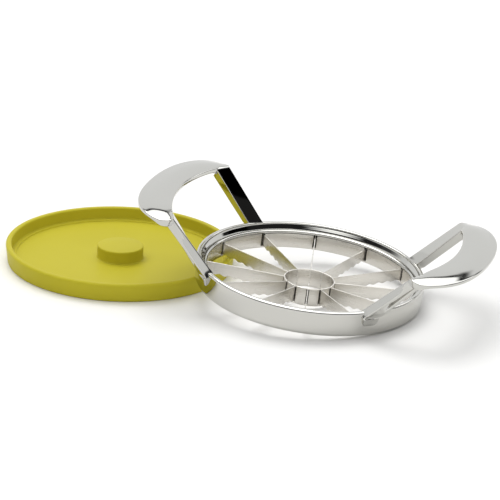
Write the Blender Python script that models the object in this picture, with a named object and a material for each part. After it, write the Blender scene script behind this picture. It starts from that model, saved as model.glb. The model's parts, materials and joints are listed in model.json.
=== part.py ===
"""Twelve-blade apple slicer and corer, leaning on its clip-on cover.

Every size is in millimetres and is turned to metres where a mesh is made.
The slicer is modelled flat around its own axis, with Z = 0 on the underside
of its ring and X along the two handles.  An empty then leans it on the cover.
"""
import math

import bmesh
import bpy
from mathutils import Matrix, Vector

MM = 0.001
GAP = 0.3                    # clearance between neighbouring pieces

# ring frame
RIM_RADIUS = 57.5            # outer wall at the rim
FOOT_RADIUS = 57.0           # outer wall at the foot, the wall flares a little
RING_HEIGHT = 13.2
FOOT_ROUND = 2.2
RIM_ROUND = 1.2
BORE_RADIUS = 53.4           # inside of the casting, where the hoop sits
RING_STEPS = 72

# blade cartridge
BLADE_COUNT = 12
BLADE_THICKNESS = 0.5
SLOT_WIDTH = 1.3
HOOP_THICKNESS = 0.7
HOOP_BOTTOM = 0.5
HOOP_TOP = 8.1
BEAD_WIDTH = 1.3
BEAD_HEIGHT = 1.6
CORE_RADIUS = 12.8
CORE_WALL = 0.6
CORE_TOP = 6.0
CORE_BOTTOM = -3.3
SLOT_FOOT_OUTER = 1.4        # lower end of a slot in the hoop
SLOT_FOOT_CORE = -2.7        # lower end of a slot in the core ring
SCALLOP_PITCH = 5.0
SCALLOP_DEPTH = 0.8
CORE_STEPS = 48

# handles: corners of one arm's inner face, far edge and near edge of the arm
ARM_FOOT_FAR = (37.6, 38.7, 12.2)
ARM_FOOT_NEAR = (44.2, 33.6, 12.2)
ARM_TOP_FAR = (61.7, 42.0, 37.6)
ARM_TOP_NEAR = (65.0, 33.6, 37.2)
ARM_DEPTH = 4.7
SKIN = 1.6                   # wall thickness of the cast channel
GRIP_TOP = 37.8              # top of the grip along the opening
GRIP_REACH = 88.9            # outermost point of a grip from the ring's axis
GRIP_HALF_WIDTH = 46.0
GRIP_SHOULDER = 65.2         # where the outer outline is widest
GRIP_SQUARENESS = 1.93       # 2 would be an ellipse
OPENING_REACH = 72.2         # inner edge of the grip on the centre line
GRIP_SHARES = (0.0, 0.2, 0.42, 0.62, 0.8, 0.92, 1.0)
SKIRT_DEPTH = 1.9            # upright edge round the grip
LUG_DROP = 6.6               # how far a lug reaches down the wall
LUG_RISE = 1.6
LUG_FOOT_DEPTH = 0.9
LUG_TOP_DEPTH = 3.4
LUG_FOOT_ANGLES = (44.6, 38.2)
LUG_TOP_ANGLES = (43.6, 36.6)

# cover
COVER_RADIUS = 58.2
COVER_FOOT_RADIUS = 57.2
COVER_HEIGHT = 9.5
COVER_WALL = 3.0
COVER_FLOOR = 2.8
LEDGE_WIDTH = 2.4
LEDGE_RISE = 0.7
HUB_RADIUS = 11.7
HUB_TOP = 9.3
COVER_DISTANCE = 104.3       # between the slicer's axis and the cover's
COVER_BEARING = 174.3        # direction of the cover, degrees from +X


def clear_scene():
    for item in list(bpy.data.objects):
        bpy.data.objects.remove(item, do_unlink=True)


def material(name, color, metallic, roughness):
    made = bpy.data.materials.new(name)
    made.use_nodes = True
    shader = made.node_tree.nodes["Principled BSDF"]
    shader.inputs["Base Color"].default_value = (*color, 1.0)
    shader.inputs["Metallic"].default_value = metallic
    shader.inputs["Roughness"].default_value = roughness
    return made


def finish(name, shape, surface, parent=None, sharp=35.0):
    """Turn a bmesh in millimetres into a named object in metres."""
    bmesh.ops.recalc_face_normals(shape, faces=shape.faces)
    bmesh.ops.scale(shape, vec=(MM, MM, MM), verts=shape.verts)
    mesh = bpy.data.meshes.new(name)
    shape.to_mesh(mesh)
    shape.free()
    mesh.shade_smooth()
    mesh.set_sharp_from_angle(angle=math.radians(sharp))
    mesh.materials.append(surface)
    made = bpy.data.objects.new(name, mesh)
    bpy.context.scene.collection.objects.link(made)
    made.parent = parent
    return made


def arc(centre_r, centre_z, radius, start, end, count):
    """Points of an arc in the (radius, height) plane, angles in degrees."""
    points = []
    for k in range(count + 1):
        angle = math.radians(start + (end - start) * k / count)
        points.append((centre_r + radius * math.cos(angle), centre_z + radius * math.sin(angle)))
    return points


def turned_ring(outline, steps):
    """Spin a closed outline of (radius, height) points once around Z."""
    shape = bmesh.new()
    loop = [shape.verts.new((r, 0.0, z)) for r, z in outline]
    edges = [shape.edges.new((loop[k - 1], loop[k])) for k in range(len(loop))]
    bmesh.ops.spin(shape, geom=loop + edges, cent=(0, 0, 0), axis=(0, 0, 1),
                   angle=math.tau, steps=steps, use_merge=True)
    bmesh.ops.remove_doubles(shape, verts=shape.verts, dist=1e-4)
    return shape


def turned_disc(outline, steps):
    """Spin an open outline whose two ends lie on the Z axis."""
    shape = bmesh.new()
    line = [shape.verts.new((r, 0.0, z)) for r, z in outline]
    edges = [shape.edges.new((line[k], line[k + 1])) for k in range(len(line) - 1)]
    bmesh.ops.spin(shape, geom=line + edges, cent=(0, 0, 0), axis=(0, 0, 1),
                   angle=math.tau, steps=steps, use_merge=True)
    bmesh.ops.remove_doubles(shape, verts=shape.verts, dist=1e-4)
    return shape


def hexahedron(shape, low, high):
    """Add a closed block between two rings of four corners each."""
    a = [shape.verts.new(p) for p in low]
    b = [shape.verts.new(p) for p in high]
    shape.faces.new(a[::-1])
    shape.faces.new(b)
    for k in range(4):
        n = (k + 1) % 4
        shape.faces.new((a[k], a[n], b[n], b[k]))


def blade_angles():
    step = 360.0 / BLADE_COUNT
    return [step / 2 + step * k for k in range(BLADE_COUNT)]


# ---------------------------------------------------------------- ring frame
def ring_frame(surface, parent):
    """Polished casting: flared wall, rounded rim, cove down to the bead."""
    outline = [(BORE_RADIUS, 0.0)]
    outline += arc(FOOT_RADIUS - FOOT_ROUND, FOOT_ROUND, FOOT_ROUND, -90, 0, 4)
    outline += arc(RIM_RADIUS - RIM_ROUND, RING_HEIGHT - RIM_ROUND, RIM_ROUND, 0, 90, 4)
    outline += arc(BORE_RADIUS + 2.2, RING_HEIGHT - 0.6, 0.6, 90, 180, 2)
    outline += [(BORE_RADIUS + 0.7, 11.4), (BORE_RADIUS, 10.3)]
    return finish("ring_frame", turned_ring(outline, RING_STEPS), surface, parent)


def retaining_ring(surface, parent):
    """Bright bead that holds the hoop down inside the casting."""
    outer = BORE_RADIUS - GAP
    low = HOOP_TOP + GAP
    half = BEAD_HEIGHT / 2
    outline = [(outer, low)]
    outline += [(outer, low + BEAD_HEIGHT)]
    outline += arc(outer - BEAD_WIDTH + half, low + half, half, 90, 270, 5)
    return finish("retaining_ring", turned_ring(outline, RING_STEPS), surface, parent)


# ----------------------------------------------------------- blade cartridge
def notched_band(name, inner, outer, bottom, top, slot_foot, steps, surface, parent):
    """A thin band with one open slot in its top edge for each blade."""
    band = finish(name, turned_ring([(inner, bottom), (outer, bottom), (outer, top), (inner, top)],
                                    steps), surface, parent)
    slots = bmesh.new()
    for angle in blade_angles():
        turn = Matrix.Rotation(math.radians(angle), 4, "Z")
        half = SLOT_WIDTH / 2
        feet = [(inner - 1, -half), (outer + 1, -half), (outer + 1, half), (inner - 1, half)]
        low = [turn @ Vector((x, y, slot_foot)) for x, y in feet]
        high = [turn @ Vector((x, y, top + 1)) for x, y in feet]
        hexahedron(slots, low, high)
    cutter = finish(name + "_slots", slots, surface, parent)
    cutter.hide_render = True
    cutter.display_type = "WIRE"
    cut = band.modifiers.new("slots", "BOOLEAN")
    cut.operation = "DIFFERENCE"
    cut.object = cutter
    return band


def blade_hoop(surface, parent):
    outer = BORE_RADIUS - GAP
    return notched_band("blade_hoop", outer - HOOP_THICKNESS, outer, HOOP_BOTTOM, HOOP_TOP,
                        SLOT_FOOT_OUTER, RING_STEPS, surface, parent)


def core_ring(surface, parent):
    return notched_band("core_ring", CORE_RADIUS - CORE_WALL, CORE_RADIUS, CORE_BOTTOM, CORE_TOP,
                        SLOT_FOOT_CORE, CORE_STEPS, surface, parent)


def blade_mesh(surface):
    """One blade along +X: straight back, scalloped cutting edge below."""
    inner = CORE_RADIUS - CORE_WALL + 0.1
    outer = BORE_RADIUS - GAP - 0.1
    top_inner, top_outer = CORE_TOP - 0.3, HOOP_TOP - 0.3
    low_inner, low_outer = SLOT_FOOT_CORE + GAP, SLOT_FOOT_OUTER + GAP
    edge = []
    count = 32
    for k in range(count + 1):
        share = k / count
        r = inner + (outer - inner) * share
        wave = SCALLOP_DEPTH / 2 * (1 - math.cos(math.tau * (r - inner) / SCALLOP_PITCH))
        edge.append((r, low_inner + (low_outer - low_inner) * share + wave * min(1, 6 * share, 6 - 6 * share)))
    outline = edge + [(outer, top_outer), (inner, top_inner)]
    shape = bmesh.new()
    half = BLADE_THICKNESS / 2
    face = shape.faces.new([shape.verts.new((r, -half, z)) for r, z in outline])
    grown = bmesh.ops.extrude_face_region(shape, geom=[face])
    moved = [item for item in grown["geom"] if isinstance(item, bmesh.types.BMVert)]
    bmesh.ops.translate(shape, vec=(0, BLADE_THICKNESS, 0), verts=moved)
    first = finish("blade_01", shape, surface)
    return first


def blades(surface, parent):
    first = blade_mesh(surface)
    for k, angle in enumerate(blade_angles()):
        item = first if k == 0 else bpy.data.objects.new(f"blade_{k + 1:02d}", first.data)
        if k:
            bpy.context.scene.collection.objects.link(item)
        item.parent = parent
        item.rotation_euler = (0, 0, math.radians(angle))


# ------------------------------------------------------------------- handles
def grip_outline(t):
    """Outer edge of the grip in plan: t = 1 at a shoulder, 0 on the centre line."""
    angle = t * math.pi / 2
    power = 2 / GRIP_SQUARENESS
    x = GRIP_SHOULDER + (GRIP_REACH - GRIP_SHOULDER) * math.cos(angle) ** power
    return x, GRIP_HALF_WIDTH * math.sin(angle) ** power


def opening_edge(y):
    """Inner edge of the grip in plan, a shallow bow between the two arms."""
    share = y / ARM_TOP_NEAR[1]
    return OPENING_REACH - (OPENING_REACH - ARM_TOP_NEAR[0]) * share * share, y


def grip_crown(share):
    """Height of the domed grip over its inner edge; share is 1 at its outer edge."""
    return share * (6.2 - 4.4 * share - 2.9 * share * share)


def grip_columns():
    """Pairs (inner point, outer point) in plan, from the +Y end to the centre."""
    middle = ((ARM_TOP_FAR[0] + ARM_TOP_NEAR[0]) / 2, (ARM_TOP_FAR[1] + ARM_TOP_NEAR[1]) / 2)
    inner = [ARM_TOP_FAR[:2], middle, ARM_TOP_NEAR[:2]]
    inner += [opening_edge(y) for y in (29.0, 24.0, 19.0, 14.0, 9.0, 4.5, 0.0)]
    outer = [grip_outline(t) for t in (1.0, 0.87, 0.74, 0.62, 0.5, 0.4, 0.3, 0.2, 0.1, 0.0)]
    return list(zip(inner, outer))


def handle_skin(side):
    """Open skin of one handle: two arms, the grip and a skirt round its edge.

    side is +1 for the right handle and -1 for the left one.
    """
    shape = bmesh.new()
    half = grip_columns()
    columns = [(i, o, 1) for i, o in half] + [(i, o, -1) for i, o in half[-2::-1]]
    grid = []
    for (ix, iy), (ox, oy), mirror in columns:
        line = []
        for share in GRIP_SHARES:
            plan = (ix + (ox - ix) * share, mirror * (iy + (oy - iy) * share))
            line.append(shape.verts.new((*plan, GRIP_TOP + grip_crown(share))))
        grid.append(line)
    for a, b in zip(grid, grid[1:]):
        for k in range(len(GRIP_SHARES) - 1):
            shape.faces.new((a[k], a[k + 1], b[k + 1], b[k]))
    rims = []
    arm_out = arm_normal()
    for mirror, inner in ((1, [grid[k][0] for k in (0, 1, 2)]), (-1, [grid[-1 - k][0] for k in (0, 1, 2)])):
        rows = [inner]
        for share in (0.33, 0.66, 1.0):
            far = Vector(ARM_TOP_FAR).lerp(Vector(ARM_FOOT_FAR), share)
            near = Vector(ARM_TOP_NEAR).lerp(Vector(ARM_FOOT_NEAR), share)
            row = []
            for k in (0.0, 0.5, 1.0):
                p = far.lerp(near, k)
                row.append(shape.verts.new((p.x, mirror * p.y, p.z)))
            rows.append(row)
        for a, b in zip(rows, rows[1:]):
            for k in (0, 1):
                shape.faces.new((a[k], a[k + 1], b[k + 1], b[k]))
        out = Vector((arm_out.x, mirror * arm_out.y, arm_out.z))
        for side_index in (0, 2):
            rims.append([(row[side_index], out * ARM_DEPTH) for row in rows[1:]])
    skirt_of_grip(shape, grid, rims)
    bmesh.ops.recalc_face_normals(shape, faces=shape.faces)
    if side < 0:
        bmesh.ops.scale(shape, vec=(-1, 1, 1), verts=shape.verts)
        bmesh.ops.reverse_faces(shape, faces=shape.faces)
    return shape


def arm_normal():
    """Direction that the back of the +Y arm looks in: outwards and down."""
    along = Vector(ARM_TOP_FAR) - Vector(ARM_FOOT_FAR)
    across = Vector(ARM_TOP_NEAR) - Vector(ARM_TOP_FAR)
    return along.cross(across).normalized()


def skirt_of_grip(shape, grid, rims):
    """Extend the skin's free edges into a skirt, so that it reads as a channel."""
    down = Vector((0, 0, -1))
    bend_plus = (arm_normal() + down).normalized()
    bend_minus = Vector((bend_plus.x, -bend_plus.y, bend_plus.z))
    outer = [(grid[0][0], bend_plus * ARM_DEPTH * 0.8)]
    outer += [(v, down * SKIRT_DEPTH * 1.3) for v in grid[0][1:-1]]
    outer += [(line[-1], down * SKIRT_DEPTH) for line in grid]
    outer += [(v, down * SKIRT_DEPTH * 1.3) for v in grid[-1][-2:0:-1]]
    outer += [(grid[-1][0], bend_minus * ARM_DEPTH * 0.8)]
    inner = [(grid[2][0], bend_plus * ARM_DEPTH * 0.75)]
    inner += [(line[0], down * SKIN * 1.15) for line in grid[3:-3]]
    inner += [(grid[-3][0], bend_minus * ARM_DEPTH * 0.75)]
    far_plus, near_plus, far_minus, near_minus = rims
    chains = [far_plus[::-1] + outer + far_minus, near_plus[::-1] + inner + near_minus]
    for chain in chains:
        lower = [shape.verts.new(v.co + offset) for v, offset in chain]
        for k in range(len(chain) - 1):
            shape.faces.new((chain[k][0], chain[k + 1][0], lower[k + 1], lower[k]))


def lug(shape, mirror, side):
    """Boss at the foot of one arm: it closes the channel and runs down the wall."""
    clear = RIM_RADIUS + GAP

    def corner(angle, radius, z):
        turn = math.radians(angle)
        return Vector((radius * math.cos(turn) * side, radius * math.sin(turn) * mirror, z))

    def section(far, near, depth, z):
        return [corner(far, clear, z), corner(near, clear, z),
                corner(near, clear + depth, z), corner(far, clear + depth, z)]

    low = section(*LUG_FOOT_ANGLES, LUG_FOOT_DEPTH, RING_HEIGHT - LUG_DROP)
    high = section(*LUG_TOP_ANGLES, LUG_TOP_DEPTH, RING_HEIGHT + LUG_RISE)
    hexahedron(shape, low, high)


def handle(name, side, surface, parent):
    made = finish(name, handle_skin(side), surface, parent)
    wall = made.modifiers.new("wall", "SOLIDIFY")
    wall.thickness = SKIN * MM
    wall.offset = -1.0
    wall.use_even_offset = True
    wall.use_quality_normals = True
    lugs = bmesh.new()
    for mirror in (1, -1):
        lug(lugs, mirror, side)
    block = finish(name + "_lugs", lugs, surface, parent)
    block.hide_render = True
    block.display_type = "WIRE"
    join = made.modifiers.new("lugs", "BOOLEAN")
    join.operation = "UNION"
    join.object = block
    seat = made.modifiers.new("seat_on_rim", "BOOLEAN")
    seat.operation = "DIFFERENCE"
    seat.object = rim_envelope(name + "_seat", surface, parent)
    return made


def rim_envelope(name, surface, parent):
    """Cutter a little larger than the ring, which seats a handle on the rim."""
    radius, top = RIM_RADIUS + GAP, RING_HEIGHT + GAP
    outline = [(0.0, -1.0), (radius, -1.0), (radius, top - RIM_ROUND)]
    outline += arc(radius - RIM_ROUND, top - RIM_ROUND, RIM_ROUND, 0, 90, 3)[1:]
    outline += [(0.0, top)]
    made = finish(name, turned_disc(outline, RING_STEPS), surface, parent)
    made.hide_render = True
    made.display_type = "WIRE"
    return made


# --------------------------------------------------------------------- cover
def cover(surface, centre):
    """Moulded tray with a raised hub, lying with its inner side up."""
    inner = COVER_RADIUS - COVER_WALL
    outline = [(0.0, 0.0)]
    outline += arc(COVER_FOOT_RADIUS - 0.8, 0.8, 0.8, -90, 0, 2)
    outline += arc(COVER_RADIUS - 1.2, COVER_HEIGHT - 1.2, 1.2, 0, 90, 3)
    outline += arc(inner + 1.0, COVER_HEIGHT - 1.0, 1.0, 90, 180, 3)
    outline += [(inner - 0.2, COVER_FLOOR + LEDGE_RISE), (inner - LEDGE_WIDTH, COVER_FLOOR + LEDGE_RISE)]
    outline += [(inner - LEDGE_WIDTH - 0.3, COVER_FLOOR), (HUB_RADIUS + 0.3, COVER_FLOOR)]
    outline += [(HUB_RADIUS, COVER_FLOOR + 0.4)]
    outline += arc(HUB_RADIUS - 0.8, HUB_TOP - 0.8, 0.8, 0, 90, 2)
    outline += [(0.0, HUB_TOP)]
    made = finish("cover", turned_disc(outline, RING_STEPS), surface)
    made.location = centre * MM
    return made


# ------------------------------------------------------------------ assembly
def leaning_slicer():
    """Empty that leans the slicer: its far side lies on the cover's rim."""
    crossing = (COVER_DISTANCE ** 2 + (BORE_RADIUS + 0.7) ** 2 - COVER_RADIUS ** 2) / (2 * COVER_DISTANCE)
    roll_radius = FOOT_RADIUS - FOOT_ROUND
    lean = math.asin((COVER_HEIGHT + GAP) / (roll_radius + crossing))
    bearing = math.radians(COVER_BEARING)
    axis = Vector((math.sin(bearing), -math.cos(bearing), 0))
    holder = bpy.data.objects.new("slicer", None)
    bpy.context.scene.collection.objects.link(holder)
    rise = roll_radius * math.sin(lean) + FOOT_ROUND * (1 - math.cos(lean))
    holder.matrix_world = Matrix.Translation((0, 0, rise * MM)) @ Matrix.Rotation(lean, 4, axis)
    return holder


def centre_on_origin(roots):
    """Move the set so that the middle of its footprint stands on the origin."""
    bpy.context.view_layer.update()
    low, high = [math.inf] * 2, [-math.inf] * 2
    for item in bpy.context.scene.objects:
        if item.type != "MESH" or item.hide_render:
            continue
        for vertex in item.data.vertices:
            point = item.matrix_world @ vertex.co
            for k in (0, 1):
                low[k] = min(low[k], point[k])
                high[k] = max(high[k], point[k])
    shift = Vector((-(low[0] + high[0]) / 2, -(low[1] + high[1]) / 2, 0))
    for item in roots:
        item.location += shift


def build():
    clear_scene()
    chrome = material("polished_chrome", (0.78, 0.79, 0.80), 1.0, 0.06)
    satin = material("satin_stainless", (0.66, 0.65, 0.62), 1.0, 0.32)
    plastic = material("green_polypropylene", (0.60, 0.54, 0.045), 0.0, 0.45)
    slicer = leaning_slicer()
    ring_frame(chrome, slicer)
    retaining_ring(chrome, slicer)
    blade_hoop(satin, slicer)
    core_ring(satin, slicer)
    blades(satin, slicer)
    handle("left_handle", -1, chrome, slicer)
    handle("right_handle", 1, chrome, slicer)
    bearing = math.radians(COVER_BEARING)
    centre = Vector((math.cos(bearing), math.sin(bearing), 0)) * COVER_DISTANCE
    tray = cover(plastic, centre)
    centre_on_origin((slicer, tray))


build()
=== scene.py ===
# %% [markdown]
# # A chrome apple slicer leaning on its green cover
#
# The real tool is a polished die casting with a pressed-in cartridge of
# stainless blades, and a moulded cover that clips on underneath.  The CAD
# model fixes where every piece is.  This lesson makes the fine surface of each
# piece, its finish, the studio and the camera.

import json
import math

import bmesh
import bpy
from mathutils import Matrix, Vector


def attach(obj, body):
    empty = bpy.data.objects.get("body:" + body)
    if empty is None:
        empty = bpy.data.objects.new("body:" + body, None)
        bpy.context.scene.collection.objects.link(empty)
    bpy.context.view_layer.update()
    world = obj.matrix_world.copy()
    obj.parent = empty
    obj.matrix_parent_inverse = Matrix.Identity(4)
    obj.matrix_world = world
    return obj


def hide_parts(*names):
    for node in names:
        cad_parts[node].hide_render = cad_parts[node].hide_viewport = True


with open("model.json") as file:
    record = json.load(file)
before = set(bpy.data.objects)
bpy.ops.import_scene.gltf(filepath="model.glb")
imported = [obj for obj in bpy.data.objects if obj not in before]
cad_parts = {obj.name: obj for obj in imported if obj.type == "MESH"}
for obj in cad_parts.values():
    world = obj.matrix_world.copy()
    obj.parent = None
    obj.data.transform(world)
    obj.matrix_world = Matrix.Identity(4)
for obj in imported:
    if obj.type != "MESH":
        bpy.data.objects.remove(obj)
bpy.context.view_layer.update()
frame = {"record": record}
MM = 0.001

# %% [markdown]
# ## Where the slicer stands
#
# The slicer leans: one side of its ring lies on the cover's rim.  The record
# keeps a flat mount under the ring, and its outward direction is the ring's
# axis turned upside down.  From that one mount comes the matrix that takes a
# piece drawn flat, in millimetres, to its place in the leaning slicer.

# %% The slicer's own axes
FOOT_RADIUS = 54.3                   # the mount's distance from the axis
mounts = {m["name"]: m for m in frame["record"]["mounts"]}
ring_axis = -Vector(mounts["slicer_underside"]["axis"])
lean = Vector((0, 0, 1)).rotation_difference(ring_axis).to_matrix().to_4x4()
foot = Vector(mounts["slicer_underside"]["pos_m"])
ring_centre = foot - lean @ Vector((0, -FOOT_RADIUS * MM, 0))
SLICER = Matrix.Translation(ring_centre) @ lean @ Matrix.Scale(MM, 4)
cover_centre = Vector(mounts["cover_underside"]["pos_m"])
COVER = Matrix.Translation(cover_centre) @ Matrix.Scale(MM, 4)
print("lean", round(math.degrees(ring_axis.angle(Vector((0, 0, 1)))), 2), "degrees")

# %% [markdown]
# ## Small helpers
#
# A node tree is easier to read when each node is one call, so one function
# adds a node, sets it and links it.  Colours are written as sRGB hex values,
# the way a colour picker shows them, and one function turns them to linear.


# %% Colours and nodes
def linear(hex_colour):
    """An sRGB hex colour as linear RGB with alpha."""
    channels = [int(hex_colour[k:k + 2], 16) / 255 for k in (1, 3, 5)]
    straight = [c / 12.92 if c <= 0.04045 else ((c + 0.055) / 1.055) ** 2.4 for c in channels]
    return (*straight, 1.0)


MIX_A, MIX_B, MIXED = 6, 7, 2        # a Mix node's colour sockets, which share their names


def add(tree, kind, settings=None, values=None, links=None):
    """Add one node with its settings, and set or link its inputs by name or number."""
    node = tree.nodes.new(kind)
    for name, value in (settings or {}).items():
        setattr(node, name, value)
    for name, value in (values or {}).items():
        node.inputs[name].default_value = value
    for name, source in (links or {}).items():
        tree.links.new(source, node.inputs[name])
    return node


def new_material(name):
    made = bpy.data.materials.new(name)
    made.use_nodes = True
    made.node_tree.nodes.clear()
    return made, made.node_tree


# %% Meshes
def to_piece(name, shape, place, surface, body, *nodes, sharp=None):
    """Put a bmesh drawn in millimetres in its place and show it instead of its CAD nodes."""
    mesh = bpy.data.meshes.new(name)
    shape.to_mesh(mesh)
    shape.free()
    return mesh_to_piece(name, mesh, place, surface, body, *nodes, sharp=sharp)


def mesh_to_piece(name, mesh, place, surface, body, *nodes, sharp=None):
    mesh.transform(place)
    mesh.shade_smooth()
    if sharp is not None:
        mesh.set_sharp_from_angle(angle=math.radians(sharp))
    mesh.materials.clear()
    mesh.materials.append(surface)
    made = bpy.data.objects.new(name, mesh)
    bpy.context.scene.collection.objects.link(made)
    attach(made, body)
    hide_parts(*nodes)
    print(name, len(mesh.polygons), "faces")
    return made


def arc(centre_r, centre_z, radius, start, end, count):
    """Points of an arc in the (radius, height) plane, angles in degrees."""
    turns = [math.radians(start + (end - start) * k / count) for k in range(count + 1)]
    return [(centre_r + radius * math.cos(a), centre_z + radius * math.sin(a)) for a in turns]


def turned(outline, steps, closed=True):
    """Spin an outline of (radius, height) points once around Z."""
    shape = bmesh.new()
    line = [shape.verts.new((r, 0.0, z)) for r, z in outline]
    first = 0 if closed else 1
    edges = [shape.edges.new((line[k - 1], line[k])) for k in range(first, len(line))]
    bmesh.ops.spin(shape, geom=line + edges, cent=(0, 0, 0), axis=(0, 0, 1),
                   angle=math.tau, steps=steps, use_merge=True)
    bmesh.ops.remove_doubles(shape, verts=shape.verts, dist=1e-4)
    bmesh.ops.recalc_face_normals(shape, faces=shape.faces)
    return shape


# %% [markdown]
# ## Chrome
#
# Polished zinc casting with bright chrome plating.  Plating is a mirror, so
# what makes it look real is not its own colour but slight flaws: the casting
# under it was polished by hand and is a little wavy, and fingers leave smears
# that blur the mirror here and there.


# %% Chrome plated casting
POLISH_WAVES = 55.0                  # per metre: the casting waves about every 18 mm
SMEARS = 140.0                       # per metre: a finger's smear is about 7 mm wide


def chrome_plate():
    made, tree = new_material("chrome_plated_casting")
    place = add(tree, "ShaderNodeTexCoord")
    wave = add(tree, "ShaderNodeTexNoise", values={"Scale": POLISH_WAVES, "Detail": 1.0},
               links={"Vector": place.outputs["Object"]})
    smear = add(tree, "ShaderNodeTexNoise",
                values={"Scale": SMEARS, "Detail": 4.0, "Distortion": 0.6},
                links={"Vector": place.outputs["Object"]})
    rough = add(tree, "ShaderNodeMapRange",
                values={"From Min": 0.45, "From Max": 0.75, "To Min": 0.035, "To Max": 0.09},
                links={"Value": smear.outputs["Fac"]})
    bump = add(tree, "ShaderNodeBump", values={"Strength": 0.16, "Distance": 0.0006},
               links={"Height": wave.outputs["Fac"]})
    shader = add(tree, "ShaderNodeBsdfPrincipled",
                 values={"Base Color": linear("#C8C7C2"), "Metallic": 1.0},
                 links={"Roughness": rough.outputs["Result"], "Normal": bump.outputs["Normal"]})
    add(tree, "ShaderNodeOutputMaterial", links={"Surface": shader.outputs["BSDF"]})
    return made


CHROME = chrome_plate()

# %% [markdown]
# ## Satin stainless steel
#
# The blades, the hoop and the core ring are cut from rolled strip.  Rolling
# and brushing leave fine lines along the strip, which spread a highlight
# across them.  The lines follow each strip, so they are read from its own UV
# map, whose unit is one millimetre.  Real ones are under 0.05 mm apart, too
# fine for this view, so they are drawn 0.3 mm apart.


# %% Brushed stainless strip
BRUSH_LINES = (0.06, 3.2, 1.0)       # per millimetre, along and across the strip


def brushed_strip():
    made, tree = new_material("brushed_stainless_strip")
    place = add(tree, "ShaderNodeUVMap", {"uv_map": "strip"})
    along = add(tree, "ShaderNodeMapping", values={"Scale": BRUSH_LINES},
                links={"Vector": place.outputs["UV"]})
    lines = add(tree, "ShaderNodeTexNoise",
                values={"Scale": 1.0, "Detail": 5.0, "Roughness": 0.6},
                links={"Vector": along.outputs["Vector"]})
    rough = add(tree, "ShaderNodeMapRange",
                values={"From Min": 0.3, "From Max": 0.7, "To Min": 0.24, "To Max": 0.38},
                links={"Value": lines.outputs["Fac"]})
    tint = add(tree, "ShaderNodeMix", {"data_type": "RGBA"},
               {MIX_A: linear("#D0CDC6"), MIX_B: linear("#E8E5DF")},
               {"Factor": lines.outputs["Fac"]})
    bump = add(tree, "ShaderNodeBump", values={"Strength": 0.12, "Distance": 0.0001},
               links={"Height": lines.outputs["Fac"]})
    shader = add(tree, "ShaderNodeBsdfPrincipled", values={"Metallic": 1.0},
                 links={"Base Color": tint.outputs[MIXED], "Roughness": rough.outputs["Result"],
                        "Normal": bump.outputs["Normal"]})
    add(tree, "ShaderNodeOutputMaterial", links={"Surface": shader.outputs["BSDF"]})
    return made


STAINLESS = brushed_strip()

# %% [markdown]
# ## Moulded polypropylene
#
# The cover comes out of a lightly spark-eroded mould, which gives it a fine
# matte grain.  Real grain is about 0.1 mm across, too fine for this view, so it
# is drawn at 0.4 mm.  It scatters most of the mirror reflection, so that is
# turned down.  The pigment is a strong yellow green, and a little light enters
# the plastic before it comes back, so its shaded sides stay warm.


# %% Green polypropylene
MOULD_GRAIN = 2600.0                 # per metre
PIGMENT_CLOUDS = 30.0                # per metre: the pigment drifts over about 30 mm


def green_polypropylene():
    made, tree = new_material("green_polypropylene")
    place = add(tree, "ShaderNodeTexCoord")
    grain = add(tree, "ShaderNodeTexNoise", values={"Scale": MOULD_GRAIN, "Detail": 2.0},
                links={"Vector": place.outputs["Object"]})
    cloud = add(tree, "ShaderNodeTexNoise", values={"Scale": PIGMENT_CLOUDS, "Detail": 2.0},
                links={"Vector": place.outputs["Object"]})
    tint = add(tree, "ShaderNodeMix", {"data_type": "RGBA"},
               {MIX_A: linear("#B8AD29"), MIX_B: linear("#C0B630")},
               {"Factor": cloud.outputs["Fac"]})
    bump = add(tree, "ShaderNodeBump", values={"Strength": 0.12, "Distance": 0.00015},
               links={"Height": grain.outputs["Fac"]})
    shader = add(tree, "ShaderNodeBsdfPrincipled",
                 values={"Roughness": 0.46, "Subsurface Weight": 0.08, "Subsurface Scale": 0.003,
                         "Subsurface Radius": (1.0, 0.9, 0.2), "IOR": 1.49,
                         "Specular IOR Level": 0.12},
                 links={"Base Color": tint.outputs[MIXED], "Normal": bump.outputs["Normal"]})
    add(tree, "ShaderNodeOutputMaterial", links={"Surface": shader.outputs["BSDF"]})
    return made


PLASTIC = green_polypropylene()

# %% [markdown]
# ## Ring casting
#
# A turned piece is fully described by its cross-section, so the ring is an
# outline spun round the axis: a flared wall, a rounded foot and rim, and a
# cove that falls inwards to the bead.

# %% Ring casting
RIM_RADIUS = 57.5
RING_HEIGHT = 13.2
BORE_RADIUS = 53.4
FOOT_ROUND, RIM_ROUND, LIP_ROUND = 2.2, 1.2, 0.6
SPIN_STEPS = 288


def ring_outline():
    points = [(BORE_RADIUS, 0.3), (BORE_RADIUS + 0.3, 0.0)]
    points += arc(54.8, FOOT_ROUND, FOOT_ROUND, -90, 0, 10)
    points += [(57.17, 5.0), (57.34, 8.5)]                               # flared wall
    points += arc(RIM_RADIUS - RIM_ROUND, RING_HEIGHT - RIM_ROUND, RIM_ROUND, 0, 90, 12)
    points += arc(BORE_RADIUS + 2.2, RING_HEIGHT - LIP_ROUND, LIP_ROUND, 90, 190, 8)
    points += [(54.62, 12.0), (54.2, 11.35), (53.82, 10.85), (53.52, 10.4)]  # cove
    points += [(BORE_RADIUS, z) for z in (10.1, 9.0, 4.0)]
    return points


to_piece("ring_casting", turned(ring_outline(), SPIN_STEPS), SLICER, CHROME,
         "slicer", "ring_frame")

# %% Bead over the hoop
HOOP_OUTER = BORE_RADIUS - 0.3
HOOP_TOP = 8.1


def bead_outline():
    low, half = HOOP_TOP + 0.3, 0.8
    edge = [(HOOP_OUTER, low + 0.2), (HOOP_OUTER, low + 1.4), (HOOP_OUTER - 0.2, low + 1.6)]
    bulge = arc(HOOP_OUTER - 0.5, low + half, half, 95, 265, 14)
    return edge + bulge + [(HOOP_OUTER - 0.2, low)]


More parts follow.
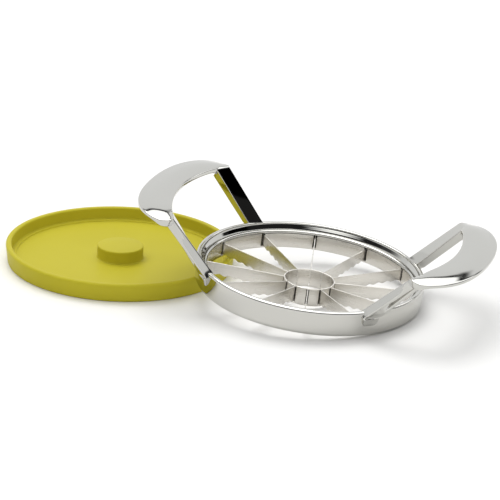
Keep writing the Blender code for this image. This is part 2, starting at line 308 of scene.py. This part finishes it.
to_piece("polished_bead", turned(bead_outline(), SPIN_STEPS), SLICER, CHROME,
         "slicer", "retaining_ring")

# %% [markdown]
# ## Pieces that repeat round the axis
#
# Twelve blades, twelve slots in the hoop and twelve in the core ring all
# repeat every thirty degrees.  One Geometry Nodes tree makes all three: it
# takes one unit, sets copies of it round the axis, and joins them.  The dark
# bars of painted shade beside the blades come from it too.


# %% Round-the-axis tree
def around_tree():
    tree = bpy.data.node_groups.new("repeat_around_axis", "GeometryNodeTree")
    sockets = tree.interface
    for name, kind in (("Geometry", "Geometry"), ("Count", "Int"), ("First Angle", "Float"),
                       ("Join Distance", "Float"), ("Surface", "Material")):
        sockets.new_socket(name, in_out="INPUT", socket_type="NodeSocket" + kind)
    sockets.new_socket("Geometry", in_out="OUTPUT", socket_type="NodeSocketGeometry")
    given = tree.nodes.new("NodeGroupInput").outputs
    seats = add(tree, "GeometryNodePoints", links={"Count": given["Count"]})
    number = add(tree, "GeometryNodeInputIndex")
    step = add(tree, "ShaderNodeMath", {"operation": "DIVIDE"},
               {0: math.tau}, {1: given["Count"]})
    turn = add(tree, "ShaderNodeMath", {"operation": "MULTIPLY_ADD"},
               links={0: number.outputs["Index"], 1: step.outputs[0], 2: given["First Angle"]})
    about_z = add(tree, "ShaderNodeCombineXYZ", links={"Z": turn.outputs[0]})
    copies = add(tree, "GeometryNodeInstanceOnPoints",
                 links={"Points": seats.outputs[0], "Instance": given["Geometry"],
                        "Rotation": about_z.outputs[0]})
    real = add(tree, "GeometryNodeRealizeInstances", links={"Geometry": copies.outputs[0]})
    joined = add(tree, "GeometryNodeMergeByDistance",
                 links={"Geometry": real.outputs[0], "Distance": given["Join Distance"]})
    dressed = add(tree, "GeometryNodeSetMaterial",
                  links={"Geometry": joined.outputs[0], "Material": given["Surface"]})
    add(tree, "NodeGroupOutput", links={"Geometry": dressed.outputs[0]})
    return tree


AROUND = around_tree()
BLADE_COUNT = 12
HALF_PITCH = math.pi / BLADE_COUNT   # from the middle of a slot to the middle of a unit
JOIN_DISTANCE = 0.02                 # millimetres: neighbouring units become one band


def repeat_around(name, shape, surface, first_angle, *nodes, sharp=30):
    """Repeat a unit twelve times and turn the result into one plain piece."""
    unit_mesh = bpy.data.meshes.new(name + "_unit")
    shape.to_mesh(unit_mesh)
    shape.free()
    unit = bpy.data.objects.new(name + "_unit", unit_mesh)
    bpy.context.scene.collection.objects.link(unit)
    around = unit.modifiers.new("around", "NODES")
    around.node_group = AROUND
    inputs = {"Count": BLADE_COUNT, "First Angle": first_angle,
              "Join Distance": JOIN_DISTANCE, "Surface": surface}
    for item in AROUND.interface.items_tree:
        if item.in_out == "INPUT" and item.name in inputs:
            around[item.identifier] = inputs[item.name]
    bpy.context.view_layer.update()
    seen = unit.evaluated_get(bpy.context.evaluated_depsgraph_get())
    mesh = bpy.data.meshes.new_from_object(seen)
    bpy.data.objects.remove(unit)
    mesh_to_piece(name, mesh, SLICER, surface, "slicer", *nodes, sharp=sharp)


# %% [markdown]
# ## Slotted hoop and core ring
#
# Both are thin bands with a slot open to the top edge at each blade.  The unit
# is the stretch of band from one slot's middle to the next.  A UV map in
# millimetres runs along the strip for the brushing.


# %% Slotted bands
BAND_CHAMFER = 0.12
SHARP_TURN = 1.2                     # radians: edges that turn more get the chamfer


def slotted_unit(inner, outer, bottom, top, slot_foot, slot_width, steps):
    """One twelfth of a band, from the middle of a slot to the middle of the next."""
    shape = bmesh.new()
    uv = shape.loops.layers.uv.new("strip")
    slot_turn = slot_width / 2 / outer
    land = 2 * HALF_PITCH - 2 * slot_turn
    turns = [-HALF_PITCH]
    turns += [-HALF_PITCH + slot_turn + land * k / steps for k in range(steps + 1)]
    turns += [HALF_PITCH]
    levels = [bottom, slot_foot, top]

    def at(radius, k, level):
        return (radius * math.cos(turns[k]), radius * math.sin(turns[k]), levels[level])

    def quad(corners, marks):
        face = shape.faces.new([shape.verts.new(c) for c in corners])
        for loop, mark in zip(face.loops, marks):
            loop[uv].uv = mark

    last = len(turns) - 2
    for k in range(last + 1):
        n = k + 1
        in_slot = k in (0, last)
        a, b = turns[k] * outer, turns[n] * outer
        for row in [0] if in_slot else [0, 1]:
            up = row + 1
            low, high = levels[row], levels[up]
            quad([at(outer, k, row), at(outer, n, row), at(outer, n, up), at(outer, k, up)],
                 [(a, low), (b, low), (b, high), (a, high)])
            quad([at(inner, n, row), at(inner, k, row), at(inner, k, up), at(inner, n, up)],
                 [(b, low), (a, low), (a, high), (b, high)])
        edge = 1 if in_slot else 2
        flat = [(a, 0), (b, 0), (b, 1), (a, 1)]
        quad([at(outer, k, edge), at(outer, n, edge), at(inner, n, edge), at(inner, k, edge)], flat)
        quad([at(outer, n, 0), at(outer, k, 0), at(inner, k, 0), at(inner, n, 0)], flat)
    for k, flip in ((1, 1), (last, -1)):
        side = [at(outer, k, 1), at(inner, k, 1), at(inner, k, 2), at(outer, k, 2)]
        quad(side[::-flip], [(0, 0), (1, 0), (1, 1), (0, 1)])
    bmesh.ops.remove_doubles(shape, verts=shape.verts, dist=1e-4)
    bmesh.ops.recalc_face_normals(shape, faces=shape.faces)
    sharp_edges = [e for e in shape.edges if e.is_manifold and e.calc_face_angle(0) > SHARP_TURN]
    bmesh.ops.bevel(shape, geom=sharp_edges, offset=BAND_CHAMFER, segments=2,
                    affect="EDGES", profile=0.5)
    return shape


hoop_unit = slotted_unit(inner=HOOP_OUTER - 0.7, outer=HOOP_OUTER, bottom=0.5, top=HOOP_TOP,
                         slot_foot=1.4, slot_width=1.9, steps=12)
repeat_around("slotted_hoop", hoop_unit, STAINLESS, 0.0, "blade_hoop")
core_unit = slotted_unit(inner=12.2, outer=12.8, bottom=-3.3, top=6.0,
                         slot_foot=-2.7, slot_width=0.56, steps=6)
repeat_around("core_cutter", core_unit, STAINLESS, 0.0, "core_ring")

# %% [markdown]
# ## Blades
#
# A blade is a strip half a millimetre thick.  Its lower edge is ground from
# both sides and scalloped, so that it bites before it slices.  The unit is a
# row of cross-sections along the blade.


# %% Blades
BLADE_INNER, BLADE_OUTER = 12.3, 53.0
BLADE_HALF, BACK_HALF, TIP_HALF = 0.25, 0.17, 0.03   # half thicknesses: strip, back, edge
BACK_BEVEL = 0.09
EDGE_START, EDGE_RISE = -2.4, 4.1    # the edge climbs from the core ring to the hoop
BACK_START, BACK_RISE = 5.7, 2.1
SCALLOP_PITCH, SCALLOP_SWING = 5.0, 0.4
GRIND = 1.3                          # height of the ground bevel at a scallop's top
STATIONS = 120                       # steps along the blade


def blade_unit():
    shape = bmesh.new()
    uv = shape.loops.layers.uv.new("strip")
    rings = []
    for k in range(STATIONS + 1):
        share = k / STATIONS
        r = BLADE_INNER + (BLADE_OUTER - BLADE_INNER) * share
        ends = min(1.0, 6 * share, 6 - 6 * share)    # the scallops fade out at both ends
        turn = math.tau * (r - BLADE_INNER) / SCALLOP_PITCH
        wave = SCALLOP_SWING * (1 - math.cos(turn)) * ends
        edge = EDGE_START + EDGE_RISE * share + wave
        top = BACK_START + BACK_RISE * share
        ground = edge + GRIND + 0.25 * (1 - wave)
        side = [(BLADE_HALF, top - BACK_BEVEL), (BLADE_HALF, ground), (TIP_HALF, edge)]
        section = [(-BACK_HALF, top), (BACK_HALF, top), *side, *[(-y, z) for y, z in side[::-1]]]
        rings.append([shape.verts.new((r, y, z)) for y, z in section])
    count = len(rings[0])
    for a, b in zip(rings, rings[1:]):
        for k in range(count):
            n = (k + 1) % count
            face = shape.faces.new((a[k], b[k], b[n], a[n]))
            for loop in face.loops:
                loop[uv].uv = (loop.vert.co.x, loop.vert.co.z)
    shape.faces.new(rings[0])
    shape.faces.new(rings[-1][::-1])
    bmesh.ops.recalc_face_normals(shape, faces=shape.faces)
    return shape


blade_nodes = [f"blade_{k + 1:02d}" for k in range(BLADE_COUNT)]
repeat_around("scalloped_blades", blade_unit(), STAINLESS, HALF_PITCH, *blade_nodes)

# %% [markdown]
# ## Painted shade beside the blades
#
# In the slots at both ends of each blade, the narrow gap beside the blade lies
# in shade, and that shade is painted as a dark bar.  One small bar on each side
# of a blade's end is enough, and the same tree repeats them.


# %% Painted shade in the slots
SHADE_BLOTCHES = 900.0                  # per metre: blotches of about 1 mm


# Dark colour painted as the shade in the gaps beside the blades' ends.
def dark_slot_shade():
    made, tree = new_material("painted_slot_shade")
    place = add(tree, "ShaderNodeTexCoord")
    spots = add(tree, "ShaderNodeTexNoise", values={"Scale": SHADE_BLOTCHES, "Detail": 3.0},
                links={"Vector": place.outputs["Object"]})
    # Painted shade: dark greys, blotched a little.
    tint = add(tree, "ShaderNodeMix", {"data_type": "RGBA"},
               {MIX_A: linear("#1E1C1A"), MIX_B: linear("#4A4640")},
               {"Factor": spots.outputs["Fac"]})
    shader = add(tree, "ShaderNodeBsdfPrincipled", values={"Metallic": 0.6, "Roughness": 0.6},
                 links={"Base Color": tint.outputs[MIXED]})
    add(tree, "ShaderNodeOutputMaterial", links={"Surface": shader.outputs["BSDF"]})
    return made


# %% Bars of painted shade
# Painted shade bars, inner and outer radius, width, foot and top: in the hoop's slot, at the core
# ring.
SHADE_BARS = ((52.5, 52.95, 0.65, 1.7, 7.7), (12.7, 12.95, 0.45, -2.2, 5.5))


def shade_bar_unit():
    """A dark bar of painted shade on each side of a blade, at both of its ends."""
    shape = bmesh.new()
    for side in (-1, 1):
        for r_low, r_high, width, z_low, z_high in SHADE_BARS:
            bar = bmesh.ops.create_cube(shape, size=1.0)["verts"]
            bmesh.ops.scale(shape, verts=bar, vec=(r_high - r_low, width, z_high - z_low))
            beside = side * (BLADE_HALF + width / 2)
            bmesh.ops.translate(shape, verts=bar,
                                vec=((r_low + r_high) / 2, beside, (z_low + z_high) / 2))
    return shape


# Dark bars painted where the gaps beside the blades lie in shade.
repeat_around("painted_shade_bars", shade_bar_unit(), dark_slot_shade(), HALF_PITCH)

# %% [markdown]
# ## Handles
#
# Each handle is a cast channel: a lug on the ring's wall, an arm, a flat grip
# round the outside, and the same back down.  A sweep suits it.  The rows below
# give the few cross-sections that its shape needs, from the lug to the middle
# of the grip.  Curves run through them, and the other half is the mirror image.

# %% Control sections of a handle
ARM_FOOT = {"far": Vector((37.6, 38.7, 12.2)), "near": Vector((44.2, 33.6, 12.2))}
ARM_TOP = {"far": Vector((61.5, 42.3, 37.6)), "near": Vector((65.0, 33.6, 37.3))}
LUG_ROOT = RIM_RADIUS - 1.9          # the lug grows out of the ring's own metal
SKIN = 1.6                           # the hollow casting's wall
SOFT = 0.5                           # rounding of a channel's shoulders
GRIP_TOP, GRIP_GAIN = 37.8, 0.8      # height at the corner, and what it gains past it
GAIN_RUN = 0.4                       # part of the half grip over which it gains that
GRIP_SHOULDER, GRIP_REACH, GRIP_HALF_WIDTH, OPENING_REACH = 65.2, 89.2, 45.7, 72.2
SQUARENESS = 2.25                    # of the grip's outline: 2 is an ellipse
OPENING_SPREAD = 1.5                 # brings the opening's sections closer at the arm
CORNER_START = 0.75                  # from here to the arm the flanges deepen

# Lug rows: near and far angle round the ring, height, depth, floor, rounding.
LUG_ROWS = [
    (40.2, 42.6, 5.6, 1.3, 1.2, 0.3),
    (38.4, 44.4, 6.1, 2.2, 2.1, SOFT),
    (37.2, 45.4, 7.5, 3.0, 2.9, SOFT),
    (37.0, 45.7, 9.3, 3.7, 3.6, SOFT),
]
# Arm rows: share of the way up, depth and floor of the channel.
ARM_ROWS = [(0.12, 4.7, 4.5), (0.22, 4.7, 4.2)]
ARM_ROWS += [(share, 4.7, SKIN) for share in (0.32, 0.45, 0.6, 0.8, 0.93)]
GRIP_ROWS = (0.97, 0.9, 0.82, 0.73, 0.63, 0.52, 0.4, 0.27, 0.13, 0.0)


def in_wall(angle, z):
    turn = math.radians(angle)
    return Vector((LUG_ROOT * math.cos(turn), LUG_ROOT * math.sin(turn), z))


def on_arm(share):
    """The two face corners of the arm, a share of the way up."""
    return [ARM_FOOT[edge].lerp(ARM_TOP[edge], share) for edge in ("near", "far")]


arm_back = (ARM_TOP["far"] - ARM_FOOT["far"]).cross(ARM_TOP["near"] - ARM_TOP["far"]).normalized()
outward = Vector((0.76, 0.65, 0.0)).normalized()
down = Vector((0, 0, -1))


def section(corners, back, depths, floor, rounds=(SOFT, SOFT), dome=0.0):
    """One control section: its two face corners, where its back looks, and its sizes."""
    return [*corners, back, [*depths, floor, *rounds, dome]]


def grip_section(t):
    """Section of the grip: t = 1 at the arm and 0 on the centre line."""
    turn = t * math.pi / 2
    power = 2 / SQUARENESS
    past_corner = min(1.0, (1 - t) / GAIN_RUN)
    top = GRIP_TOP + GRIP_GAIN * past_corner * (2 - past_corner)
    far = Vector((GRIP_SHOULDER + (GRIP_REACH - GRIP_SHOULDER) * math.cos(turn) ** power,
                  GRIP_HALF_WIDTH * math.sin(turn) ** power, top))
    y = ARM_TOP["near"].y * (1 - (1 - t) ** OPENING_SPREAD)
    share = y / ARM_TOP["near"].y
    near = Vector((OPENING_REACH - (OPENING_REACH - ARM_TOP["near"].x) * share * share, y, top))
    at_corner = max(0.0, (t - CORNER_START) / (1 - CORNER_START)) ** 2
    depths = (2.2 + 1.4 * at_corner, 1.3 + 2.0 * at_corner)
    return section((near, far), down, depths, SKIN, (0.6, 0.55), 1.0)


def handle_sections():
    found = []
    for near, far, z, depth, floor, rounding in LUG_ROWS:
        found.append(section((in_wall(near, z), in_wall(far, z)), outward,
                             (depth, depth), floor, (rounding, rounding)))
    found.append(section((in_wall(37.0, 11.0), in_wall(45.8, 11.0)), outward * 2 + arm_back,
                         (4.2, 4.2), 4.1))
    found.append(section(on_arm(0.03), outward + arm_back * 2, (4.6, 4.6), 4.5))
    for share, depth, floor in ARM_ROWS:
        found.append(section(on_arm(share), arm_back, (depth, depth), floor))
    found.append(section((ARM_TOP["near"] + Vector((-0.1, 0, -0.1)),
                          ARM_TOP["far"] + Vector((-0.1, 0, -0.2))),
                         arm_back * 2 + down, (4.5, 4.6), SKIN))
    found.append(section((ARM_TOP["near"] + Vector((0.6, 0, 0.5)),
                          ARM_TOP["far"] + Vector((1.0, 1.9, 0.1))),
                         arm_back + down * 3, (3.8, 3.9), SKIN, (0.6, SOFT), 0.35))
    return found + [grip_section(t) for t in GRIP_ROWS]


print(len(handle_sections()), "control sections")


# %% From a section to a ring of points
QUARTER_TURN = (0.0, math.pi / 6, math.pi / 3, math.pi / 2)
ACROSS_FACE = (0.12, 0.25, 0.38, 0.5, 0.62, 0.74, 0.85)
SUBSTEPS = 4                         # between one control section and the next
LEAST = 0.02                         # millimetres kept between a channel's floor and its edge


def dome_rise(share):
    """Height of the domed grip over its inner edge; share is 1 at its outer edge.

    It rises by a fifth of a millimetre and then falls by 1.4 mm to the outer edge.
    """
    return share * (0.9 - 0.2 * share - 2.1 * share * share)


def section_points(near, far, back, sizes):
    """Closed ring of points: face, rounded shoulders, two flanges and the channel between."""
    near_depth, far_depth, floor, near_round, far_round, dome = sizes
    across = far - near
    width = across.length
    across.normalize()
    depth = back - across * back.dot(across)
    depth.normalize()
    wall = min(SKIN, width * 0.3)
    lip = 0.3 * min(near_depth, 1.0)         # bevel along the edges of the flanges
    drop = -dome * dome_rise(1.0)            # the outer edge lies this far below the face
    flat = [(0.0, near_depth - lip), (0.0, (near_depth + near_round) / 2)]
    flat += [(near_round * (1 - math.cos(a)), near_round * (1 - math.sin(a)))
             for a in QUARTER_TURN]
    flat += [(width * s, -dome * dome_rise(s)) for s in ACROSS_FACE]
    start = width - far_round
    rounding = far_round * 1.1
    flat += [(start + far_round * math.sin(a), drop - 0.45 * dome + rounding * (1 - math.cos(a)))
             for a in QUARTER_TURN]
    edge = drop + far_depth
    flat += [(width, (drop + rounding + edge) / 2), (width, edge - lip), (width - lip, edge)]
    under = 0.6 * dome * dome_rise(0.62)     # the channel's floor follows the dome
    deep = min(floor - under * 0.6 + drop * 0.5, edge - LEAST)
    flat += [(width - wall + lip * 0.5, edge),
             (width - wall, min(edge - LEAST / 2, (edge + deep) / 2))]
    flat += [(width - wall - 0.3, deep), (width * 0.5, floor - under)]
    shallow = min(floor, near_depth - LEAST)
    flat += [(wall + 0.3, shallow),
             (wall, min(near_depth - LEAST / 2, (near_depth + shallow) / 2))]
    flat += [(wall - lip * 0.5, near_depth), (lip, near_depth)]
    return [near + across * a + depth * d for a, d in flat]


def smooth_path(rows):
    """Catmull-Rom curves through matching points of the control rows."""
    out = []
    for k in range(len(rows) - 1):
        p0, p1 = rows[max(k - 1, 0)], rows[k]
        p2, p3 = rows[k + 1], rows[min(k + 2, len(rows) - 1)]
        for step in range(SUBSTEPS):
            t = step / SUBSTEPS
            row = []
            for a, b, c, d in zip(p0, p1, p2, p3):
                row.append(0.5 * (2 * b + (c - a) * t + (2 * a - 5 * b + 4 * c - d) * t ** 2
                                  + (3 * b - a - 3 * c + d) * t ** 3))
            out.append(row)
    out.append(rows[-1])
    return out


def mirrored(row):
    return [Vector((p.x, -p.y, p.z)) for p in row]


def handle_shape(side):
    """One handle: half of it, its mirror image, and a face that closes each lug."""
    rows = [section_points(*item) for item in handle_sections()]
    half = smooth_path(rows + [mirrored(rows[-2])])[:SUBSTEPS * (len(rows) - 1) + 1]
    full = half + [mirrored(row) for row in half[-2::-1]]
    shape = bmesh.new()
    rings = [[shape.verts.new((p.x * side, p.y, p.z)) for p in row] for row in full]
    count = len(rings[0])
    for a, b in zip(rings, rings[1:]):
        for k in range(count):
            n = (k + 1) % count
            shape.faces.new((a[k], a[n], b[n], b[k]))
    shape.faces.new(rings[0][::-1])
    shape.faces.new(rings[-1])
    bmesh.ops.recalc_face_normals(shape, faces=shape.faces)
    return shape


# %% Handles
def add_handle(name, side, node):
    made = to_piece(name, handle_shape(side), SLICER, CHROME, "slicer", node)
    smooth = made.modifiers.new("smooth", "SUBSURF")
    smooth.levels = 1
    smooth.render_levels = 1


add_handle("cast_handle_left", -1, "left_handle")
add_handle("cast_handle_right", 1, "right_handle")

# %% [markdown]
# ## Cover
#
# The cover is turned too: a tray with a rounded rim, a low ledge at the foot
# of its wall and a solid hub that fits in the core ring.


# %% Cover
FLOOR_TOP, HUB_TOP = 2.8, 9.3


def cover_outline():
    points = [(0.0, 0.0), (30.0, 0.0)]                                   # underside
    points += arc(56.4, 0.8, 0.8, -90, 0, 6)
    points += [(57.6, 4.0)]                                              # wall, outside
    points += arc(57.0, 8.3, 1.2, 0, 90, 8)                              # rim
    points += arc(56.2, 8.5, 1.0, 90, 180, 8)
    points += [(55.1, 5.0)]                                              # wall, inside
    points += arc(54.6, 3.9, 0.4, 0, -90, 4)                             # ledge
    points += arc(53.0, 3.1, 0.4, 90, 180, 4)
    points += arc(52.3, 3.1, 0.3, 0, -90, 3)
    points += [(40.0, FLOOR_TOP), (20.0, FLOOR_TOP)]
    points += arc(12.3, 3.4, 0.6, -90, -180, 4)                          # hub
    points += [(11.7, 6.0)]
    points += arc(10.9, 8.5, 0.8, 0, 90, 6)
    points += [(5.0, HUB_TOP), (0.0, HUB_TOP)]
    return points


to_piece("moulded_cover", turned(cover_outline(), SPIN_STEPS, closed=False), COVER, PLASTIC,
         "cover", "cover", sharp=50)

# %% [markdown]
# ## Studio
#
# Chrome shows the room, so the room is designed first: a white table, a pale
# wall behind with a bright panel above it, a soft panel overhead, a low pale
# wall all round, and otherwise darkness, with one black card on the right.
# The room is drawn in the world, from the direction that light comes from.
# The matte plastic and the table would be lit unevenly by such a room, so rays
# that leave them see a plain soft sky instead.


# %% Floor
TABLE_REACH = 30.0                   # metres, so that its edge is out of sight


def pale_floor():
    made, tree = new_material("pale_table_top")
    shader = add(tree, "ShaderNodeBsdfPrincipled",
                 values={"Base Color": linear("#F4F3F1"), "Roughness": 0.55})
    add(tree, "ShaderNodeOutputMaterial", links={"Surface": shader.outputs["BSDF"]})
    mesh = bpy.data.meshes.new("table_top")
    signs = [(-1, -1), (1, -1), (1, 1), (-1, 1)]
    corners = [(x * TABLE_REACH, y * TABLE_REACH, 0) for x, y in signs]
    mesh.from_pydata(corners, [], [(0, 1, 2, 3)])
    mesh.materials.append(made)
    table = bpy.data.objects.new("table_top", mesh)
    bpy.context.scene.collection.objects.link(table)


pale_floor()


# %% Room
# The height of the far wall's top edge, and how it falls from left to right.
WALL_TOP, WALL_SLOPE = 0.51, -0.2
CARD_WAY = Vector((0.72, 0.42, 0.56)).normalized()

# A ramp: what it reads, where it starts and ends, its values before and after.
# It reads the ray's x, y or z, its height over the far wall's top, or how
# nearly it points at the card.
RAMPS = {
    "far_side": ("y", 0.05, 0.25, 0.07, 1.0),
    "below_top": ("over_wall", -0.04, 0.005, 1.0, 0.02),
    "near_wall": ("z", 0.20, 0.30, 0.95, 0.0),
    "overhead": ("z", 0.70, 0.76, 0.02, 2.4),
    "panel_edge": ("over_wall", 0.015, 0.05, 0.0, 1.9),
    "panel_half": ("y", 0.45, 0.60, 0.0, 1.0),
    "left_wall": ("x", -0.75, -0.45, 0.9, 0.0),
    "left_top": ("z", 0.45, 0.6, 1.0, 0.0),
    "card": ("to_card", 0.93, 0.95, 1.0, 0.02),
    "soft_sky": ("z", -0.05, 0.9, 0.0, 1.12),
}
# A join: its name, and the two parts that are multiplied or of which the
# brighter one is kept.
JOINS = [
    ("far_panel", "MULTIPLY", "panel_edge", "panel_half"),
    ("panels", "MAXIMUM", "overhead", "far_panel"),
    ("far_wall", "MULTIPLY", "far_side", "below_top"),
    ("left_side", "MULTIPLY", "left_wall", "left_top"),
    ("low_walls", "MAXIMUM", "near_wall", "left_side"),
    ("walls", "MAXIMUM", "far_wall", "low_walls"),
    ("light", "MAXIMUM", "walls", "panels"),
    ("room", "MULTIPLY", "light", "card"),
]


def room():
    world = bpy.data.worlds.new("studio")
    bpy.context.scene.world = world
    world.use_nodes = True
    tree = world.node_tree
    tree.nodes.clear()
    way = add(tree, "ShaderNodeTexCoord").outputs["Generated"]
    axes = add(tree, "ShaderNodeSeparateXYZ", links={"Vector": way})
    made = dict(zip("xyz", axes.outputs))
    top = add(tree, "ShaderNodeMath", {"operation": "MULTIPLY_ADD"},
              {1: WALL_SLOPE, 2: WALL_TOP}, {0: made["x"]})
    over = add(tree, "ShaderNodeMath", {"operation": "SUBTRACT"},
               links={0: made["z"], 1: top.outputs[0]})
    made["over_wall"] = over.outputs[0]
    to_card = add(tree, "ShaderNodeVectorMath", {"operation": "DOT_PRODUCT"},
                  {1: CARD_WAY}, {0: way})
    made["to_card"] = to_card.outputs["Value"]
    for name, (source, low, high, before, after) in RAMPS.items():
        ramp = add(tree, "ShaderNodeMapRange", {"interpolation_type": "SMOOTHSTEP"},
                   {"From Min": low, "From Max": high, "To Min": before, "To Max": after},
                   {"Value": made[source]})
        made[name] = ramp.outputs["Result"]
    for name, operation, first, second in JOINS:
        join = add(tree, "ShaderNodeMath", {"operation": operation},
                   links={0: made[first], 1: made[second]})
        made[name] = join.outputs[0]
    ray = add(tree, "ShaderNodeLightPath")
    strength = add(tree, "ShaderNodeMix", links={"Factor": ray.outputs["Is Diffuse Ray"],
                                                 "A": made["room"], "B": made["soft_sky"]})
    sky = add(tree, "ShaderNodeBackground", values={"Color": linear("#F9FAFB")},
              links={"Strength": strength.outputs["Result"]})
    add(tree, "ShaderNodeOutputWorld", links={"Surface": sky.outputs["Background"]})


room()


# %% Soft key light
def sun(name, energy, size_degrees, direction):
    lamp = bpy.data.lights.new(name, "SUN")
    lamp.energy = energy
    lamp.angle = math.radians(size_degrees)
    made = bpy.data.objects.new(name, lamp)
    made.rotation_euler = Vector(direction).to_track_quat("-Z", "Y").to_euler()
    bpy.context.scene.collection.objects.link(made)


sun("soft_key", energy=1.1, size_degrees=40, direction=(0.35, -0.35, -1.0))

# %% [markdown]
# ## Camera
#
# A long lens from two metres away, a little above the table, keeps the
# ellipses nearly parallel.

# %% Camera
HEADING, TILT, ROLL = 17.83, 69.77, 2.59            # degrees
FROM_RING = Vector((0.5487, -1.8031, 0.7143))       # metres from the ring's centre

lens = bpy.data.cameras.new("camera")
lens.lens = 290.8
lens.sensor_width = 36.0
lens.clip_end = 200.0
camera = bpy.data.objects.new("camera", lens)
bpy.context.scene.collection.objects.link(camera)
camera.matrix_world = (Matrix.Translation(ring_centre + FROM_RING)
                       @ Matrix.Rotation(math.radians(HEADING), 4, "Z")
                       @ Matrix.Rotation(math.radians(TILT), 4, "X")
                       @ Matrix.Rotation(math.radians(ROLL), 4, "Z"))
bpy.context.scene.camera = camera
bpy.context.scene.view_settings.view_transform = "Standard"
